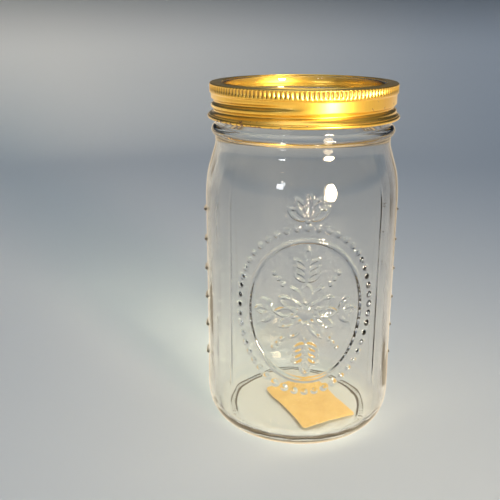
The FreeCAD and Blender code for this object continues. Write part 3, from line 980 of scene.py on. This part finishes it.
@dataclass
class ScrewBand:
    """The open screw band: one pressed sheet with a hemmed mouth, a knurled edge and a rolled thread."""

    tin: float = 0.3
    mouth_radius: float = 38.9
    wall_radius: float = 44.0
    knurl_radius: float = 44.65
    top: float = 173.0
    knurl_low: float = 168.7
    knurl_round: float = 0.7
    rib_count: int = 138
    roll: Helix = Helix(start=150.0, low=159.944, turns=1.308, fade=0.06, beyond=0.03)
    roll_depth: float = 1.3
    roll_reach: float = 1.7
    skirt_end: float = 158.56
    skirt_radius: float = 45.0
    curl_centre: Place = (44.9, 157.61)
    curl_round: float = 0.9
    finish: LacqueredTinplate = LacqueredTinplate()

    def section(self) -> Section:
        """The sheet's section, up its outside, over the flange to the hem and down its inside."""
        half, hem = self.tin / 2, 0.33
        hem_middle = (self.mouth_radius + hem, self.top)
        inner_wall, inner_knurl = self.wall_radius - self.tin, self.knurl_radius - 0.6
        shoulder = (self.knurl_radius - self.knurl_round, self.top - self.knurl_round)
        outline = Section((self.skirt_radius + half, self.skirt_end))
        outline.to(44.28, 159.4, 4).to(44.05, 159.75).to(self.wall_radius, 160.1).mark("roll_low")
        outline.to(self.wall_radius, 167.9, 24).mark("roll_high").to(44.06, 168.12).to(44.5, 168.52, 2)
        outline.to(self.knurl_radius, self.knurl_low).mark("knurl_low")
        outline.to(self.knurl_radius, shoulder[1]).mark("knurl_high")
        outline.to(shoulder[0], self.top, 5, shoulder)
        outline.to(hem_middle[0] + hem + 0.5, self.top, 6).to(hem_middle[0] + hem, self.top + 0.1)
        outline.to(hem_middle[0], self.top + hem, 3, hem_middle)
        outline.to(self.mouth_radius, self.top, 3, hem_middle)
        outline.to(hem_middle[0], self.top - hem, 3, hem_middle).to(40.2, self.top - self.tin)
        outline.to(inner_knurl - 0.4, self.top - self.tin, 4).to(inner_knurl, self.top - 0.7, 2)
        outline.to(inner_knurl, self.knurl_low, 3).to(inner_wall, 168.05, 2).mark("back_high")
        outline.to(inner_wall, 160.1, 24).mark("back_low").to(43.98, 159.4, 2)
        outline.to(self.skirt_radius - half, self.skirt_end, 2)
        return outline.to(self.skirt_radius + half, self.skirt_end)

    def relief(self, marks: dict[str, int], azimuth: Array, station: Array, height: Array) -> Array:
        """The rolled thread: a groove outside and a bead inside, in one and the same sheet.

        Args:
            marks: row numbers of the section by name.
            azimuth: directions round the axis.
            station: rows along the section.
            height: heights above the floor.

        Returns:
            How far each point is raised, in millimetres.
        """

        def rounded(aside: Array) -> Array:
            """Section of the roll: 1 on its line, falling in a wave to 0 at its reach."""
            return 0.5 + 0.5 * np.cos(math.pi * np.clip(np.abs(aside) / self.roll_reach, 0, 1))

        depth = self.roll.height(azimuth, height, rounded)
        outside = (station >= 1) & (station <= marks["roll_high"])
        inside = (station >= marks["back_high"]) & (station <= marks["back_low"] + 3)
        return self.roll_depth * depth * (inside.astype(float) - outside.astype(float))

    def knurl(self) -> RuleTree:
        """The ring of upright notches with pointed feet round the top edge."""
        rule = RuleTree("knurled_edge", {
            "Rib Count": self.rib_count,
            "Notch Depth": 0.55 * MM,
            "Notch Half Width": 0.875 * MM,
            "Rib Pitch": FULL_TURN * self.knurl_radius / self.rib_count * MM,
            "Inner Limit": (self.knurl_radius - 0.45) * MM,
            "Knurl Top": (self.top - 0.25) * MM,
            "Knurl Foot": self.knurl_low * MM,
            "Point Length": 1.7 * MM,
            "Head Length": 0.6 * MM,
        })
        node = rule.node
        place = node("SeparateXYZ", [node("InputPosition")])
        angle = node("ARCTAN2", [place.outputs[1], place])
        turns = node("DIVIDE", [angle, FULL_TURN])
        ribs = node("MULTIPLY", [turns, "Rib Count"])
        phase = node("PINGPONG", [ribs, 0.5])
        aside = node("MULTIPLY", [phase, "Rib Pitch"])
        share = node("DIVIDE", [aside, "Notch Half Width"])
        above = node("SUBTRACT", [place.outputs[2], "Knurl Foot"])
        foot = node("DIVIDE", [above, "Point Length"], use_clamp=True)
        below = node("SUBTRACT", ["Knurl Top", place.outputs[2]])
        head = node("DIVIDE", [below, "Head Length"], use_clamp=True)
        taper = node("MINIMUM", [foot, head])
        left = node("SUBTRACT", [taper, share], use_clamp=True)
        depth = node("MULTIPLY", [left, "Notch Depth"])
        inwards = node("MULTIPLY", [depth, -1.0])
        offset = node("VectorMath", {0: rule.radial(), "Scale": inwards}, operation="SCALE")
        reach = node("VectorMath", [rule.level()], operation="LENGTH").outputs["Value"]
        outer = node("GREATER_THAN", [reach, "Inner Limit"])
        # The notch depth is stored for the gold material, which paints shade into the notches with it.
        told = node("StoreNamedAttribute", {
            0: rule.start, "Selection": outer, "Name": "notch", "Value": left,
        }, data_type="FLOAT", domain="POINT")
        moved = node("SetPosition", {0: told, "Selection": outer, "Offset": offset})
        return rule.finish(moved)

    def curl_section(self) -> Section:
        """The rolled lower edge: a round of sheet left open towards the glass."""
        middle, far = self.curl_centre, self.curl_round
        near = far - self.tin
        angles = [math.radians(a) for a in (-160, -80, 0, 80, 160)]
        outline = Section(polar(far, angles[0], middle))
        for angle in angles[1:]:
            outline.to(*polar(far, angle, middle), 6, middle)
        outline.to(*polar(near, angles[-1], middle), 2)
        for angle in reversed(angles[:-1]):
            outline.to(*polar(near, angle, middle), 4, middle)
        return outline.to(*polar(far, angles[0], middle), 2)

    def build(self) -> None:
        """Makes the band and its rolled edge and ties them to their bodies."""
        section = self.section()
        turning = Turning(section, self.rib_count, looped=True)
        marks = section.marks
        knurl_parts = 8
        turning.split((marks["knurl_low"] - 1, marks["knurl_high"] + 5), (0, self.rib_count), knurl_parts)
        band = turning.build("screw_band_visual", partial(self.relief, marks))
        gold = self.finish.make()
        self.knurl().put_on(band, gold)
        settle(band)
        hand_over(band, Body.BAND, "screw_band", Slot.TINPLATE)
        curl_columns = 180
        rolled = Turning(self.curl_section(), curl_columns, looped=True)
        curl = rolled.build("band_curl_visual", lambda azimuth, station, height: 0 * height)
        curl.data.materials.append(gold)
        hand_over(curl, Body.BAND_LEAD, "band_curl", Slot.TINPLATE)


@dataclass
class PaperLabel:
    """The blank label stuck to the roof of the recess under the base."""

    width: float = 30.53
    depth: float = 43.04
    corner: float = 2.0
    centre: Place = (6.64, -0.89)
    turn: float = 25.0
    under: float = 1.3
    over: float = 1.47
    finish: CreamPaper = CreamPaper()

    def edge(self) -> Array:
        """The label's outline with rounded corners, anticlockwise, about its own centre."""
        half_w, half_d = self.width / 2 - self.corner, self.depth / 2 - self.corner
        points = []
        for number, (side_x, side_y) in enumerate(((1, 1), (-1, 1), (-1, -1), (1, -1))):
            for step in range(7):
                angle = (number + step / 6) * QUARTER_TURN
                points.append(polar(self.corner, angle, (side_x * half_w, side_y * half_d)))
        return np.array(points)

    def build(self) -> None:
        """Makes the label and ties it to the jar's body."""
        edge = self.edge()
        turn = math.radians(self.turn)
        spin = np.array([[math.cos(turn), math.sin(turn)], [-math.sin(turn), math.cos(turn)]])
        shares = np.linspace(0.0, 1.0, 6)
        rings = []
        for level, order in ((self.over, shares), (self.under, shares[::-1])):
            for share in order:
                flat = (edge if share else edge[:1]) * share @ spin + np.array(self.centre)
                rings.append(np.column_stack([flat, np.full(len(flat), level)]) * MM)
        label = lofted("paper_label_visual", rings)
        crease = math.radians(40)
        label.data.set_sharp_from_angle(angle=crease)
        label.data.materials.append(self.finish.make())
        hand_over(label, Body.JAR, "paper_label", Slot.PAPER)


@dataclass(frozen=True)
class Lamp:
    """A soft studio lamp aimed at the jar."""

    name: str
    place: tuple[float, float, float]
    width: float
    height: float
    colour: str
    watts: float
    shape: Glow = Glow.RECTANGLE
    spread: float = 180.0
    aim: tuple[float, float, float] = (0.0, 0.0, 0.11)

    def build(self) -> None:
        """Makes the lamp."""
        light = bpy.data.lights.new(self.name, "AREA")
        light.shape = self.shape.value
        light.size, light.size_y = self.width, self.height
        light.color = linear(self.colour)[:3]
        light.energy = self.watts
        light.spread = math.radians(self.spread)
        lamp = bpy.data.objects.new(self.name, light)
        bpy.context.scene.collection.objects.link(lamp)
        lamp.location = self.place
        lamp.rotation_mode = "QUATERNION"
        lamp.rotation_quaternion = (Vector(self.aim) - Vector(self.place)).to_track_quat("-Z", "Y")
        lamp.visible_camera = False


@dataclass
class Studio:
    """The plain pale floor with its curved-up edge, the lamps, the world and the camera."""

    floor_radius: float = 0.75
    edge_round: float = 0.35
    wall_top: float = 1.0
    floor_colour: str = "#C4CFDB"
    curve_colour: str = "#CDD6E0"
    curve_heights: Place = (0.0, 0.16)
    wall_colour: str = "#4E5966"
    wall_heights: Place = (0.13, 0.32)
    glow_colour: str = "#FFD894"
    sheen_strength: float = 0.65
    sheen_heights: Place = (0.16, 0.24)
    gleam_strength: float = 0.75
    gleam_heights: Place = (0.28, 0.45)
    world_colour: str = "#AEB9C6"
    world_strength: float = 0.4
    camera_place: tuple[float, float, float] = (-0.0254, -0.349, 0.2027)
    camera_pitch: float = 18.05
    lens: float = 51.84
    lamps: tuple[Lamp, ...] = (
        Lamp("key", (0.482, -0.845, 0.262), 0.224, 0.26, "#FFE6BF", 1.83, Glow.ELLIPSE, 52.0),
        Lamp("fill", (-0.343, -0.637, 0.306), 0.10, 0.05, "#F4F7FF", 0.3),
        Lamp("top", (0.0, 0.0, 1.7), 1.2, 1.2, "#FFFFFF", 8.6),
    )

    def floor(self) -> None:
        """The floor, curved up into a low round wall so that every view has a plain backdrop."""
        flat, bend = self.floor_radius, self.edge_round
        outline = Section((0.0, 0.0)).to(flat, 0.0, 11).to(flat + bend, bend, 13, (flat, bend))
        outline.to(flat + bend, self.wall_top, 5)
        count = 96
        angles = np.arange(count) * FULL_TURN / count
        rings = []
        for radius, height in zip(*outline.at(np.arange(outline.rows + 1.0))):
            around = angles if radius else angles[:1]
            level = np.column_stack([radius * np.cos(around), radius * np.sin(around)])
            rings.append(np.column_stack([level, np.full(len(around), height)]))
        floor = lofted("studio_floor", rings)
        floor.data.materials.append(self.paint())

    def paint(self) -> Material:
        """Matt studio paint, pale on the floor and greyer up the wall, with two rings of painted glow."""
        material, node, place = new_material("matt_studio_paint")
        height = node("SeparateXYZ", [place]).outputs[2]
        spans = (
            (self.curve_heights, 0.0, 1.0),
            (self.wall_heights, 0.0, 1.0),
            (self.sheen_heights, self.sheen_strength, 0.0),
            (self.gleam_heights, 0.0, self.gleam_strength),
        )
        curve, wall, lower_ring, upper_ring = (
            node("MapRange", [height, *span, low, high], interpolation_type="SMOOTHSTEP")
            for span, low, high in spans
        )
        colour = layered(node, self.floor_colour, (curve, self.curve_colour), (wall, self.wall_colour))
        # Two soft warm rings of painted glow on the wall, which is no lamp: the lower shows only in
        # reflections as a painted sheen, the upper only through the glass.
        path = node("LightPath")
        through = path.outputs["Is Transmission Ray"]
        sheen = node("SUBTRACT", [path.outputs["Is Glossy Ray"], through], use_clamp=True)
        glow = node("MULTIPLY", [lower_ring, sheen])
        glow = node("MULTIPLY_ADD", [upper_ring, through, glow])
        surface = node("BsdfPrincipled", {
            "Base Color": colour, "Roughness": 0.9, "Specular IOR Level": 0.2,
            "Emission Color": linear(self.glow_colour), "Emission Strength": glow,
        })
        node("OutputMaterial", [surface])
        return material

    def world(self) -> None:
        """Even pale light from above the studio wall."""
        world = bpy.data.worlds.new("studio_world")
        world.use_nodes = True
        tree = world.node_tree
        tree.nodes.clear()
        sky = add(tree, "Background", [linear(self.world_colour), self.world_strength])
        add(tree, "OutputWorld", [sky])
        bpy.context.scene.world = world

    def camera(self) -> None:
        """The camera at the photograph's place, level and pitched down."""
        data = bpy.data.cameras.new("camera")
        data.sensor_width = 36.0
        data.lens = self.lens
        data.clip_start = 0.01
        camera = bpy.data.objects.new("camera", data)
        bpy.context.scene.collection.objects.link(camera)
        camera.location = self.camera_place
        camera.rotation_euler = (math.radians(90 - self.camera_pitch), 0, 0)
        bpy.context.scene.camera = camera

    def build(self) -> None:
        """Makes the whole studio."""
        self.floor()
        self.world()
        for lamp in self.lamps:
            lamp.build()
        self.camera()
        bpy.context.scene.view_settings.view_transform = "Standard"


def main() -> None:
    """Builds the jar, the band, the label and the studio in order."""
    logging.basicConfig(level=logging.INFO, format="%(name)s: %(message)s")
    GlassJar().build()
    ScrewBand().build()
    PaperLabel().build()
    Studio().build()


if __name__ == "__main__":
    main()
